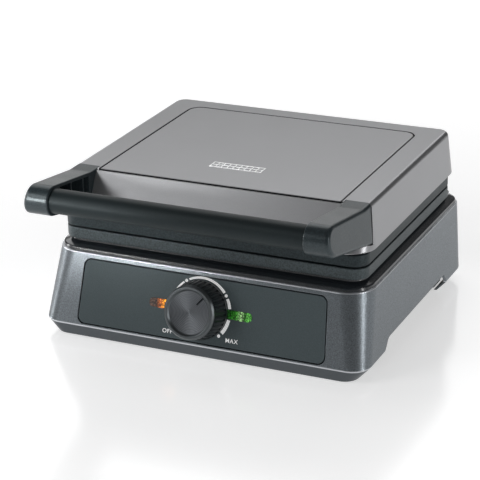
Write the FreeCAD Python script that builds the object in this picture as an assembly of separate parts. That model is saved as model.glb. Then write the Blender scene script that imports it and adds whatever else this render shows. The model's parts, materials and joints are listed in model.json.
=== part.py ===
import FreeCAD, Part
import math
import os
from FreeCAD import Vector

# Electric waffle maker with a hinged lid, a front handle bar and a control knob.
# Millimetres. +X is to the user's right, -Y is the front, +Z is up.
# The origin is on the surface that it stands on, under the middle of the footprint.

# ---- driving dimensions ----------------------------------------------------
DEPTH = 296.6                # handle nose to hinge knuckles
HANDLE_REACH = 80.6          # from the lid's front top edge to the handle's nose
LID_FRONT = -DEPTH / 2 + HANDLE_REACH   # y of the lid's front top edge
WALL = 2.5                   # moulded wall thickness
SEAM = 1.0                   # visible groove between covers

# base housing: a flared box that stands on a chamfered lower edge
BASE_TOP_Z = 69.2
BASE_LOW_Z = 11.2
BASE_SOLE_Z = 1.0
BASE_TOP_HALF = 137.3
BASE_LOW_HALF = 142.3
BASE_TOP_FRONT = LID_FRONT - 26.8
BASE_LOW_FRONT = LID_FRONT - 43.4
BASE_REAR = LID_FRONT + 204.3
BASE_TOP_CORNERS = (22.5, 16.0)      # front and rear corner radius at the top
BASE_LOW_CORNERS = (16.0, 24.0)      # the same at the widest line
BASE_EDGE_ROUND = 1.2
SOLE_CORNER_LESS = 4.0
BASE_RIM = 4.5               # width of the flat rim that carries the bezel
SOLE_INSET_FRONT = 5.5
SOLE_INSET_SIDE = 10.5
SOLE_INSET_REAR = 8.0
SOLE_RIM = 2.0
ARCH_Z = 19.5                # raised lower edge of the side walls
ARCH_FRONT = LID_FRONT - 0.75
ARCH_REAR = LID_FRONT + 152.0
ARCH_LOW_Z = -2.0            # below the sole, for the cutter
ARCH_RISE = ((-6.0, ARCH_LOW_Z), (-3.5, 4.0), (0.0, 9.0), (8.5, 15.8))     # from the arch's front, and height
ARCH_BEND = ((8.5, 15.8), (11.5, 18.4), (16.0, ARCH_Z))
ARCH_FALL = ((-6.0, ARCH_Z), (0.0, 10.0), (2.0, ARCH_LOW_Z))      # from the arch's rear, and height
ARCH_DEPTH = 16.0            # how far the arch reaches in from the widest line

# glossy bezel on top of the housing
BEZEL_INSET = 1.1
BEZEL_LIP_Z = 72.0           # top of the upright lip at the bezel's outer edge
BEZEL_LIP_LEAN = 0.7
BEZEL_LIP_ROUND = 1.5
BEZEL_NECK = 2.4             # how far the rings overhang the bezel's neck
BEZEL_NECK_Z = 74.4
BEZEL_TOP_REAR = LID_FRONT + 201.0
BEZEL_NECK_CORNER_LESS = 4.0
BEZEL_SKIRT = 3.0
BEZEL_ROUND = 0.4

# plate frames: two dark rings that meet at the parting gap
RING_HALF = 132.1
RING_FRONT = LID_FRONT - 18.3
RING_REAR = LID_FRONT + 191.3
RING_CORNER = 13.0
RING_INNER_CORNER = 8.0
RING_LOW_Z = 76.8
PART_LOW_Z = 86.0
PART_HIGH_Z = 87.4
RING_WIDTH = 12.0
RING_EDGE_ROUND = 0.7

# lid
LID_LOW_Z = 97.1
LID_TOP_Z = 132.2
LID_LOW_HALF = 134.4
LID_TOP_HALF = 128.5
LID_LOW_FRONT = LID_FRONT - 19.4
LID_LOW_REAR = LID_FRONT + 202.4
LID_TOP_REAR = LID_FRONT + 196.4
LID_LOW_CORNER = 22.5
LID_TOP_CORNER = 9.0
LID_FRONT_CORNER = 3.0
LID_EDGE_ROUND = 4.0
LID_HEM_ROUND = 0.8
LID_WALL = 3.1
LID_ROOF = 4.5
TOP_PANEL_HALF = 105.7
TOP_PANEL_REAR = LID_FRONT + 177.6
TOP_PANEL_CORNER = 11.5
TOP_PANEL_THICK = 2.0
TOP_PANEL_FRONT = LID_FRONT + 1.8
TOP_PANEL_ROUND = 1.2
FRONT_PANEL_THICK = 2.2
FRONT_PANEL_LOW = LID_LOW_Z + 1.0
FRONT_PANEL_TOP = LID_TOP_Z - 1.0
FRONT_PANEL_GAP = 0.2

# handle
ARM_INNER = 107.5
ARM_BLANK = 60.0             # length of the arm's blank before it is trimmed to the lid's side
BAR_Y = LID_FRONT - 68.4
BAR_Z = 128.5
BAR_R = 10.0
NOSE_R = 12.2
ARM_EDGE_ROUND = 3.2
ARM_BEND_R = 30.0
ARM_INNER_ROUND = 1.0
ARM_SEAM_TOP = LID_FRONT + 6.8       # y of the arm's joint with the lid, at the lid's top
ARM_RAMP_Y = LID_FRONT - 8.5
ARM_BELLY = (LID_FRONT - 16.9, 104.6)     # where the arm's lower edge turns level
ARM_SEAM_LOW = (LID_FRONT - 1.5, 101.4)
ARM_WALL = 2.6
ARM_HOLLOW = 15.0            # depth of the hollow on the arm's inner side
ARM_HOLLOW_REAR = LID_FRONT - 13.0
ARM_RIBS = (LID_FRONT - 38.0, LID_FRONT - 19.0)
ARM_RIB_THICK = 1.6
ARM_RIB_BACK = 2.0
CORE_R = 5.0
CORE_REACH = ARM_INNER + 12.0
ARM_SCREW = (LID_FRONT - 46.0, 123.0)
ARM_SCREW_BOSS = 4.4

# hinge
HINGE_Y = DEPTH / 2 - 6.0
HINGE_Z = 84.0
KNUCKLE_R = 6.0
PIN_R = 3.0
PIN_PLAY = 0.05
HINGE_X = 88.0               # middle of each hinge
KNUCKLE_W = 13.0
EAR_W = 12.0
EAR_GAP = 0.3
EAR_LOW_Z = 48.0
EAR_BACK_Z = 54.0
WEB_THICK = 4.0
WEB_TOP_Z = 66.0

# control panel, measured on the sloping front face
FACE_LEAN = math.atan2(BASE_TOP_FRONT - BASE_LOW_FRONT, BASE_TOP_Z - BASE_LOW_Z)
KNOB_Z = 39.2
PANEL_TOP_Z = 64.4
PANEL_LOW_Z = 13.6
PANEL_TOP_HALF = 105.4
PANEL_LOW_HALF = 108.6
PANEL_CORNER = 6.0
PANEL_GAP = 0.9
CARRIER_THICK = 3.0
KNOB_R = 21.5
KNOB_SKIRT_R = 24.0
KNOB_SKIRT_HIGH = 2.5
KNOB_HEIGHT = 21.5
KNOB_LIFT = 0.7              # knob's back to the panel's face
SHAFT_R = 3.0
SHAFT_FLAT = 1.8
SHAFT_IN_KNOB = 12.0
KNOB_HOLLOW = 14.0
KNOB_HUB_R = 6.5
LAMP_END = 45.2
LAMP_START = 19.0
LAMP_H = 7.4
LAMP_FLANGE = 1.5
LAMP_PROUD = 0.4
FLUTES = 36
FLUTE_R = 1.35
FLUTE_END = 5.2              # rim's front to the end of the flutes
RIM_TOP = KNOB_LIFT + KNOB_HEIGHT
RIM_GROOVE = 0.7
RECESS = 1.6                 # rim's front to the disc's face
DISC_R = 17.3
DISC_THICK = 1.0
POINTER_ANGLE = 40.0
POINTER_START = 9.3
POINTER_END = 17.1
POINTER_WIDTH = 1.1
POINTER_HIGH = 0.25
THERMO_W = 30.0
THERMO_H = 26.0
THERMO_D = 20.0
SHAFT_IN_THERMO = 11.5
SHAFT_SEAT = 12.0            # depth of the thermostat's bore
TAB_XS = (-9.0, 0.0, 9.0)    # connection tabs of the thermostat
TAB_HALF = 3.0
TAB_LONG = 8.0
TAB_THICK = 0.8
LAMP_R = 2.6
LAMP_X = 22.0
LAMP_LONG = 16.0
LAMP_BEHIND = 5.0            # lamp's axis to the carrier's back
HOLDER_X = 38.0
HOLDER_SIZE = 8.0

# cord gland, in the rear wall
GLAND_X = -38.0
GLAND_Z = 36.0
GLAND_R = 6.5
GLAND_BORE = 3.7
GLAND_FLANGE = 9.5
GLAND_FLANGE_THICK = 3.0

# inside the base
FLOOR_Z = 5.0
FLOOR_THICK = 2.5
FOOT_X = 115.5
FOOT_FRONT_Y = LID_FRONT - 17.0
FOOT_REAR_Y = LID_FRONT + 168.0
FOOT_HALF_X = 13.0
FOOT_HALF_Y = 12.0
FOOT_CORNER = 5.0
FOOT_STEM_R = 2.2
FOOT_DIMPLE_R = 4.0
FOOT_DIMPLE = 2.0
FOOT_BUTTON_R = 3.6          # head that snaps through the bottom plate
FOOT_BUTTON = 1.8
SCREW_R = 1.6
POST_R = 6.0
POST_X = 96.0
POST_FRONT_Y = LID_FRONT + 4.0
POST_REAR_Y = LID_FRONT + 170.0
REFLECTOR_Z = 58.0
SHEET = 0.8
TRAY_CORNER = 8.0
SCREW_BORE = 16.0
VENT_ROWS = 5
VENT_COLS = (-3, -2, -1, 0, 1, 2, 3)
VENT_PITCH_X = 26.0
VENT_PITCH_Y = 9.0
VENT_FIRST_Y = LID_FRONT + 70.0
VENT_HALF_X = 9.0
VENT_HALF_Y = 1.5
TERMINAL_HALF = 18.0
TERMINAL_Y = BASE_REAR - 40.0
TERMINAL_DEEP = 8.0          # half its depth
TERMINAL_TOP_Z = 24.0
TERMINAL_HOLE_R = 2.2
TERMINAL_PITCH = 12.0

# waffle plates
PLATE_HALF = RING_HALF - RING_WIDTH
PLATE_FRONT = RING_FRONT + RING_WIDTH
PLATE_REAR = RING_REAR - RING_WIDTH
PLATE_CORNER = RING_INNER_CORNER
PLATE_DEEP = 14.0            # rim to the bottom of a waffle cavity
PIN_H = 10.0
PIN_BASE = 14.5
PIN_TIP = 10.5
PIN_PITCH_X = 24.5
PIN_PITCH_Y = 23.5
PIN_COLS = 4
PIN_ROWS = 7
PLATE_WALL = 3.0
CAVITY_INNER = 8.0           # plate's middle to a cavity's inner wall
CAVITY_RIM = 8.0             # plate's edge to a cavity's outer wall
CAVITY_DRAFT = 2.5
ELEMENT_R = 3.3
ELEMENT_XS = (-84.0, -28.0, 28.0, 84.0)
ELEMENT_FRONT = PLATE_FRONT + 46.0
ELEMENT_REAR = PLATE_REAR - 20.0
ELEMENT_SHORT = 40.0         # how much sooner the middle turn comes back
FUSE_HALF = 8.0
FUSE_CLIP_HALF = 5.0
FUSE_R = 2.2
FUSE_LONG = 28.0
FUSE_SHEET = 1.5
PILLAR_R = 4.0
PILLAR_X = 56.0
PILLAR_YS = (PLATE_FRONT + 60.0, PLATE_REAR - 40.0)
RIM_STEP = 0.2               # the plates' rims sit this far back from the rings' parting faces
LOWER_PLATE_BACK = PART_LOW_Z - RIM_STEP - PLATE_DEEP - PLATE_WALL
UPPER_PLATE_BACK = PART_HIGH_Z + RIM_STEP + PLATE_DEEP + PLATE_WALL
ELEMENT_SINK = 0.4           # the heater tube is cast this far into the plate

UP = Vector(0, 0, 1)
RIGHT = Vector(1, 0, 0)
SIDES = (-1, 1)
FAR = 300.0                  # beyond every face, for cutters
FOOT_PLACES = [(x, y) for x in (-FOOT_X, FOOT_X) for y in (FOOT_FRONT_Y, FOOT_REAR_Y)]
POST_PLACES = [(x, y) for x in (-POST_X, POST_X) for y in (POST_FRONT_Y, POST_REAR_Y)]

# control face: local X across, Y up the slope, Z out of the face
face_front = BASE_TOP_FRONT - (BASE_TOP_Z - KNOB_Z) * math.tan(FACE_LEAN)
FACE = FreeCAD.Placement(Vector(0, face_front, KNOB_Z),
                         FreeCAD.Rotation(RIGHT, 90 - math.degrees(FACE_LEAN)))


# ---- helpers ---------------------------------------------------------------
def box(x0, x1, y0, y1, z0, z1):
    return Part.makeBox(x1 - x0, y1 - y0, z1 - z0, Vector(x0, y0, z0))


def cylinder(radius, start, axis, length):
    return Part.makeCylinder(radius, length, start, axis)


def outline(half, front, rear, z, r_front, r_rear):
    """Rounded rectangle, symmetric about x = 0, as one closed wire."""
    corners = [(-half + r_front, front + r_front, r_front, 180),
               (half - r_front, front + r_front, r_front, 270),
               (half - r_rear, rear - r_rear, r_rear, 0),
               (-half + r_rear, rear - r_rear, r_rear, 90)]
    edges = []
    last = None
    first = None
    for cx, cy, radius, start in corners:
        points = [Vector(cx + radius * math.cos(math.radians(start + step)),
                         cy + radius * math.sin(math.radians(start + step)), z)
                  for step in (0, 45, 90)]
        if last is not None:
            edges.append(Part.makeLine(last, points[0]))
        else:
            first = points[0]
        edges.append(Part.Arc(*points).toShape())
        last = points[2]
    edges.append(Part.makeLine(last, first))
    return Part.Wire(edges)


def loft(*wires):
    return Part.makeLoft(list(wires), True, True)


def slab(half, front, rear, z0, z1, r_front, r_rear):
    face = Part.Face(outline(half, front, rear, z0, r_front, r_rear))
    return face.extrude(Vector(0, 0, z1 - z0))


def ring(half, front, rear, z0, z1, corner, width):
    body = slab(half, front, rear, z0, z1, corner, corner)
    body = rounded(body, RING_EDGE_ROUND, lambda e: flat_at(e, z0) or flat_at(e, z1))
    return body.cut(slab(half - width, front + width, rear - width, z0 - 1, z1 + 1,
                         RING_INNER_CORNER, RING_INNER_CORNER))


def polygon(points, plane):
    """Face from 2D points; plane maps a pair to a Vector."""
    vectors = [plane(*p) for p in points]
    return Part.Face(Part.makePolygon(vectors + vectors[:1]))


def on_face(shape):
    placed = shape.copy()
    placed.Placement = FACE.multiply(placed.Placement)
    return placed


def mirrored(shape):
    return shape.mirror(Vector(0, 0, 0), RIGHT)


def both(shape):
    return Part.makeCompound([shape, mirrored(shape)])


def pill(x0, x1, height, z0, z1):
    radius = height / 2
    body = box(x0 + radius, x1 - radius, -radius, radius, z0, z1)
    for x in (x0 + radius, x1 - radius):
        body = body.fuse(cylinder(radius, Vector(x, 0, z0), UP, z1 - z0))
    return body.removeSplitter()


def screw(head_r, head_h, shank_r, length, place, axis):
    """Pan head with a cross recess; axis points from the head into the work."""
    head = cylinder(head_r, Vector(0, 0, -head_h), UP, head_h)
    shank = cylinder(shank_r, Vector(0, 0, 0), UP, length)
    body = head.fuse(shank)
    for angle in (0, 90):
        slot = box(-head_r * 0.6, head_r * 0.6, -0.5, 0.5, -head_h, -head_h + 1.2)
        slot.rotate(Vector(0, 0, 0), UP, angle)
        body = body.cut(slot)
    body.Placement = FreeCAD.Placement(place, FreeCAD.Rotation(UP, axis))
    return body


def flat_at(edge, z):
    """True for an edge that lies level at z."""
    return abs(edge.BoundBox.ZMin - z) < 1e-4 and abs(edge.BoundBox.ZMax - z) < 1e-4


def rounded(shape, radius, choose):
    edges = [e for e in shape.Edges if choose(e)]
    return shape.makeFillet(radius, edges)


# ---- base ------------------------------------------------------------------
def base_half(z):
    share = (BASE_TOP_Z - z) / (BASE_TOP_Z - BASE_LOW_Z)
    return BASE_TOP_HALF + (BASE_LOW_HALF - BASE_TOP_HALF) * share


def base_front(z):
    return BASE_TOP_FRONT - (BASE_TOP_Z - z) * math.tan(FACE_LEAN)


def base_outer(inset, edge_round=0.0):
    """Flared box on a chamfered lower edge; the sole is set in from the flared walls carried on down."""
    def level(z, corners, more_front=0.0, more_side=0.0, more_rear=0.0, less=0.0):
        front_corner, rear_corner = corners
        return outline(base_half(z) - inset - more_side, base_front(z) + inset + more_front,
                       BASE_REAR - inset - more_rear, z, front_corner - less - inset,
                       rear_corner - less - inset)
    sole = level(BASE_SOLE_Z, BASE_LOW_CORNERS, SOLE_INSET_FRONT, SOLE_INSET_SIDE, SOLE_INSET_REAR,
                 SOLE_CORNER_LESS)
    widest = level(BASE_LOW_Z, BASE_LOW_CORNERS)
    body = loft(sole, widest).fuse(loft(widest, level(BASE_TOP_Z, BASE_TOP_CORNERS)))
    if edge_round:
        body = rounded(body, edge_round, lambda e: flat_at(e, BASE_TOP_Z) or flat_at(e, BASE_LOW_Z))
    return body


def side_arch():
    """Cutter for the raised lower edge between the front and rear feet."""
    def places(steps, y):
        return [Vector(-FAR, y + dy, z) for dy, z in steps]
    rise, bend = places(ARCH_RISE, ARCH_FRONT), places(ARCH_BEND, ARCH_FRONT)
    fall = places(ARCH_FALL, ARCH_REAR)
    lines = list(zip(rise, rise[1:])) + [(bend[-1], fall[0])]
    lines += list(zip(fall, fall[1:])) + [(fall[-1], rise[0])]
    edges = [Part.makeLine(p, q) for p, q in lines] + [Part.Arc(*bend).toShape()]
    return Part.Face(Part.Wire(Part.__sortEdges__(edges))).extrude(Vector(2 * FAR, 0, 0))


def panel_outline(grow, z0, z1):
    top = (PANEL_TOP_Z - KNOB_Z) / math.cos(FACE_LEAN) + grow
    low = -(KNOB_Z - PANEL_LOW_Z) / math.cos(FACE_LEAN) - grow
    face = polygon([(-PANEL_LOW_HALF - grow, low), (PANEL_LOW_HALF + grow, low),
                    (PANEL_TOP_HALF + grow, top), (-PANEL_TOP_HALF - grow, top)],
                   lambda x, y: Vector(x, y, z0))
    body = face.extrude(Vector(0, 0, z1 - z0))
    return rounded(body, PANEL_CORNER + grow * 0.5,
                   lambda e: abs(e.BoundBox.ZLength - (z1 - z0)) < 1e-6 and e.BoundBox.XLength < 3)


def rim_mouth(z0, z1):
    """Space inside the housing's top rim."""
    return slab(BASE_TOP_HALF - BASE_RIM, BASE_TOP_FRONT + BASE_RIM, BASE_REAR - BASE_RIM, z0, z1,
                BASE_TOP_CORNERS[0] - BASE_RIM, BASE_TOP_CORNERS[1] - BASE_RIM)


def sole_mouth(z0, z1, gap=0.0):
    """Space inside the housing's sole, or the same space smaller by a gap all round."""
    inset = SOLE_RIM + gap
    front_corner, rear_corner = BASE_LOW_CORNERS
    return slab(BASE_LOW_HALF - SOLE_INSET_SIDE - inset, BASE_LOW_FRONT + SOLE_INSET_FRONT + inset,
                BASE_REAR - SOLE_INSET_REAR - inset, z0, z1, front_corner - SOLE_CORNER_LESS - inset,
                rear_corner - SOLE_CORNER_LESS - inset)


def base_housing():
    shell = base_outer(0, BASE_EDGE_ROUND).cut(base_outer(WALL))
    shell = shell.cut(rim_mouth(BASE_TOP_Z - 10, BASE_TOP_Z + 1))
    shell = shell.cut(sole_mouth(BASE_SOLE_Z - 1, BASE_SOLE_Z + 4))
    middle = BASE_LOW_HALF - ARCH_DEPTH
    shell = shell.cut(side_arch().cut(box(-middle, middle, -FAR, FAR, -10, 40)))
    shell = shell.cut(on_face(panel_outline(PANEL_GAP, -WALL - 3, 3)))
    return shell.cut(cylinder(GLAND_R, Vector(GLAND_X, BASE_REAR - 10, GLAND_Z), Vector(0, 1, 0), 20))


def cord_gland():
    back = Vector(0, 1, 0)
    inside = BASE_REAR - WALL
    end = BASE_REAR + GLAND_FLANGE_THICK
    body = cylinder(GLAND_R, Vector(GLAND_X, inside, GLAND_Z), back, WALL)
    for y in (inside - GLAND_FLANGE_THICK, BASE_REAR):
        body = body.fuse(cylinder(GLAND_FLANGE, Vector(GLAND_X, y, GLAND_Z), back, GLAND_FLANGE_THICK))
    body = rounded(body.removeSplitter(), 1.2, lambda e: abs(e.BoundBox.YMin - end) < 1e-6)
    return body.cut(cylinder(GLAND_BORE, Vector(GLAND_X, inside - 5, GLAND_Z), back, 15))


def base_top_bezel():
    """Glossy shoulder between the housing and the lower ring, with a neck that the ring overhangs."""
    front_corner, rear_corner = BASE_TOP_CORNERS
    neck_half, neck_front = RING_HALF - BEZEL_NECK, RING_FRONT + BEZEL_NECK
    neck_rear_corner = rear_corner - BEZEL_NECK_CORNER_LESS

    def rim(inset, z):
        return outline(BASE_TOP_HALF - inset, BASE_TOP_FRONT + inset, BASE_REAR - inset, z,
                       front_corner - inset, rear_corner - inset)
    lip = loft(rim(BEZEL_INSET, BASE_TOP_Z), rim(BEZEL_INSET + BEZEL_LIP_LEAN, BEZEL_LIP_Z))
    slope = loft(rim(BEZEL_INSET + BEZEL_LIP_LEAN, BEZEL_LIP_Z),
                 outline(neck_half, neck_front, BEZEL_TOP_REAR, BEZEL_NECK_Z, RING_CORNER, neck_rear_corner))
    shoulder = rounded(lip.fuse(slope), BEZEL_LIP_ROUND, lambda e: flat_at(e, BEZEL_LIP_Z))
    shoulder = rounded(shoulder, BEZEL_ROUND, lambda e: flat_at(e, BASE_TOP_Z))
    neck = slab(neck_half, neck_front, BEZEL_TOP_REAR, BEZEL_NECK_Z, RING_LOW_Z, RING_CORNER,
                neck_rear_corner)
    skirt = rim_mouth(BASE_TOP_Z - BEZEL_SKIRT, BASE_TOP_Z)
    hole = slab(PLATE_HALF, PLATE_FRONT, PLATE_REAR, BASE_TOP_Z - 10, RING_LOW_Z + 5,
                PLATE_CORNER, PLATE_CORNER)
    return shoulder.fuse(neck).fuse(skirt).cut(hole).removeSplitter()


def control_panel():
    panel = rounded(panel_outline(0, -WALL, 0), 0.4, lambda e: flat_at(e, 0))
    panel = panel.cut(cylinder(SHAFT_R + 1.0, Vector(0, 0, -10), UP, 20))
    for side in SIDES:
        panel = panel.cut(lamp_body(side, -10, 10))
    return on_face(panel)


def lamp_body(side, z0, z1, grow=0.0):
    shape = pill(LAMP_START - grow, LAMP_END + grow, LAMP_H + 2 * grow, z0, z1)
    return shape if side > 0 else mirrored(shape)


def control_carrier():
    """Frame behind the front wall that holds the panel, the lenses and the thermostat."""
    back = -WALL - CARRIER_THICK
    plate = panel_outline(PANEL_GAP + 5.0, back, -WALL)
    plate = plate.cut(cylinder(SHAFT_R + 1.5, Vector(0, 0, -20), UP, 30))
    for side in SIDES:
        plate = plate.cut(lamp_body(side, -20, 10, LAMP_FLANGE))
    return on_face(plate).common(box(-200, 200, -200, 200, BASE_LOW_Z, BASE_TOP_Z - BEZEL_SKIRT))


def lamp_lens(side):
    front = lamp_body(side, -WALL, LAMP_PROUD)
    front = rounded(front, 0.35, lambda e: flat_at(e, LAMP_PROUD))
    flange = lamp_body(side, -WALL - CARRIER_THICK, -WALL, LAMP_FLANGE)
    return on_face(front.fuse(flange).removeSplitter())


def thermostat():
    back = -WALL - CARRIER_THICK
    body = box(-THERMO_W / 2, THERMO_W / 2, -THERMO_H / 2, THERMO_H / 2, back - THERMO_D, back)
    body = rounded(body, 2.0, lambda e: abs(e.BoundBox.ZLength - THERMO_D) < 1e-6)
    for x in TAB_XS:
        body = body.fuse(box(x - TAB_HALF, x + TAB_HALF, -TAB_THICK / 2, TAB_THICK / 2,
                             back - THERMO_D - TAB_LONG, back - THERMO_D))
    return on_face(body.cut(cylinder(SHAFT_R + PIN_PLAY, Vector(0, 0, back - SHAFT_SEAT), UP, FAR)))


def thermostat_shaft():
    back = -WALL - CARRIER_THICK
    length = SHAFT_IN_THERMO - back + KNOB_LIFT + SHAFT_IN_KNOB
    shaft = cylinder(SHAFT_R, Vector(0, 0, back - SHAFT_IN_THERMO), UP, length)
    return on_face(shaft.cut(box(SHAFT_FLAT, 5, -5, 5, KNOB_LIFT + 1, 40)))


def flute(angle):
    """Cutter for one groove, leaning with the knob's taper."""
    rise = KNOB_HEIGHT - KNOB_SKIRT_HIGH
    lean = math.degrees(math.atan2(KNOB_SKIRT_R - KNOB_R, rise))
    cutter = cylinder(FLUTE_R, Vector(0, 0, 0), UP, rise - FLUTE_END + 1)
    cutter.rotate(Vector(0, 0, 0), Vector(0, 1, 0), -lean)
    cutter.translate(Vector(KNOB_SKIRT_R + 0.2, 0, KNOB_LIFT + KNOB_SKIRT_HIGH))
    cutter.rotate(Vector(0, 0, 0), UP, angle)
    return cutter


def shaft_space(reach):
    """D-shaped space of the thermostat's shaft, from the knob's back into it."""
    round_part = cylinder(SHAFT_R, Vector(0, 0, KNOB_LIFT - 1), UP, reach + 1)
    return round_part.cut(box(SHAFT_FLAT, 5, -5, 5, KNOB_LIFT + 1, 40))


def knob():
    skirt = cylinder(KNOB_SKIRT_R, Vector(0, 0, KNOB_LIFT), UP, KNOB_SKIRT_HIGH)
    body = skirt.fuse(Part.makeCone(KNOB_SKIRT_R - 0.3, KNOB_R, KNOB_HEIGHT - KNOB_SKIRT_HIGH,
                                    Vector(0, 0, KNOB_LIFT + KNOB_SKIRT_HIGH), UP))
    for i in range(FLUTES):
        body = body.cut(flute(360.0 * i / FLUTES))
    low = RIM_TOP - RECESS
    bevel = cylinder(KNOB_R + 2, Vector(0, 0, low), UP, RECESS + 1).cut(
        Part.makeCone(KNOB_R + 0.2, KNOB_R - 1.2, RECESS + 0.01, Vector(0, 0, low), UP))
    recess = Part.makeCone(DISC_R, DISC_R + 1.4, RECESS, Vector(0, 0, low), UP)
    body = body.cut(bevel).cut(recess)
    body = body.cut(cylinder(DISC_R, Vector(0, 0, low - DISC_THICK), UP, DISC_THICK))
    body = rounded(body, 0.5, lambda e: flat_at(e, RIM_TOP))
    groove_z = RIM_TOP - FLUTE_END + 1.2
    groove = cylinder(KNOB_R + 2, Vector(0, 0, groove_z), UP, RIM_GROOVE).cut(
        cylinder(KNOB_R - RIM_GROOVE, Vector(0, 0, groove_z - 1), UP, RIM_GROOVE + 2))
    hollow = cylinder(KNOB_SKIRT_R - 4.5, Vector(0, 0, KNOB_LIFT - 1), UP, KNOB_HOLLOW + 1)
    hollow = hollow.cut(cylinder(KNOB_HUB_R, Vector(0, 0, KNOB_LIFT - 2), UP, KNOB_HOLLOW + 4))
    return on_face(body.cut(groove).cut(hollow).cut(shaft_space(SHAFT_IN_KNOB)))


def knob_disc():
    return on_face(cylinder(DISC_R, Vector(0, 0, RIM_TOP - RECESS - DISC_THICK), UP, DISC_THICK))


def knob_pointer():
    low = RIM_TOP - RECESS
    bar = box(-POINTER_WIDTH / 2, POINTER_WIDTH / 2, POINTER_START, POINTER_END, low, low + POINTER_HIGH)
    bar.rotate(Vector(0, 0, 0), UP, -POINTER_ANGLE)
    return on_face(bar)


def indicator_lamps():
    """Two neon lamps, each on its holder behind a lens."""
    back = -WALL - CARRIER_THICK
    z = back - LAMP_BEHIND
    half = HOLDER_SIZE / 2
    shapes = []
    for side in SIDES:
        lamp = cylinder(LAMP_R, Vector(side * LAMP_X, 0, z), Vector(side, 0, 0), LAMP_LONG)
        middle = side * (HOLDER_X + half)
        holder = box(middle - half, middle + half, -half, half, z - half, back)
        shapes.append(on_face(lamp.fuse(holder)))
    return Part.makeCompound(shapes)


# ---- base inside -----------------------------------------------------------
def bottom_plate():
    plate = sole_mouth(FLOOR_Z, FLOOR_Z + FLOOR_THICK, 0.5)
    for row in range(VENT_ROWS):
        for col in VENT_COLS:
            x, y = col * VENT_PITCH_X, VENT_FIRST_Y + row * VENT_PITCH_Y
            plate = plate.cut(box(x - VENT_HALF_X, x + VENT_HALF_X, y - VENT_HALF_Y, y + VENT_HALF_Y,
                                  FLOOR_Z - 1, FLOOR_Z + FLOOR_THICK + 1))
    for x, y in FOOT_PLACES:
        plate = plate.cut(cylinder(FOOT_STEM_R, Vector(x, y, FLOOR_Z - 1), UP, 10))
    for x, y in POST_PLACES:
        plate = plate.cut(cylinder(SCREW_R, Vector(x, y, FLOOR_Z - 1), UP, 10))
    return plate


def rubber_feet():
    feet = []
    for x, y in FOOT_PLACES:
        pad = slab(FOOT_HALF_X, y - FOOT_HALF_Y, y + FOOT_HALF_Y, 0, FLOOR_Z, FOOT_CORNER, FOOT_CORNER)
        pad.translate(Vector(x, 0, 0))
        pad = rounded(pad, 0.8, lambda e: e.BoundBox.ZMax < 1e-6)
        pad = pad.cut(cylinder(FOOT_DIMPLE_R, Vector(x, y, -1), UP, 1 + FOOT_DIMPLE))
        pad = pad.fuse(cylinder(FOOT_STEM_R, Vector(x, y, FLOOR_Z), UP, FLOOR_THICK))
        pad = pad.fuse(cylinder(FOOT_BUTTON_R, Vector(x, y, FLOOR_Z + FLOOR_THICK), UP, FOOT_BUTTON))
        feet.append(pad.removeSplitter())
    return Part.makeCompound(feet)


def support_posts():
    """Four pillars that carry the plate tray on the bottom plate."""
    low = FLOOR_Z + FLOOR_THICK
    return Part.makeCompound([cylinder(POST_R, Vector(x, y, low), UP, REFLECTOR_Z - low).cut(
        cylinder(SCREW_R, Vector(x, y, low - 1), UP, SCREW_BORE)) for x, y in POST_PLACES])


def base_screws():
    low = FLOOR_Z + FLOOR_THICK
    return Part.makeCompound([screw(3.4, 1.9, SCREW_R, 14.5, Vector(x, y, low - FLOOR_THICK), UP)
                              for x, y in POST_PLACES])


def tray(z0, z1, thick, half, front, rear, open_up):
    body = slab(half, front, rear, z0, z1, TRAY_CORNER, TRAY_CORNER)
    inner_corner = TRAY_CORNER - thick
    inner_z = (z0 + thick, z1 + 1) if open_up else (z0 - 1, z1 - thick)
    return body.cut(slab(half - thick, front + thick, rear - thick, *inner_z, inner_corner,
                         inner_corner))


def lower_reflector():
    return tray(REFLECTOR_Z, BASE_TOP_Z - BEZEL_SKIRT, SHEET, PLATE_HALF + 2, PLATE_FRONT - 2,
                PLATE_REAR + 2, True)


def rectangle(centre, half_x, half_y, z):
    corners = [Vector(centre.x + i * half_x, centre.y + j * half_y, z)
               for i, j in ((-1, -1), (1, -1), (1, 1), (-1, 1), (-1, -1))]
    return Part.makePolygon(corners)


def plate_pin(centre, low, high):
    return Part.makeLoft([rectangle(centre, PIN_BASE / 2, PIN_BASE / 2, low),
                          rectangle(centre, PIN_TIP / 2, PIN_TIP / 2, high)], True, True)


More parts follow.
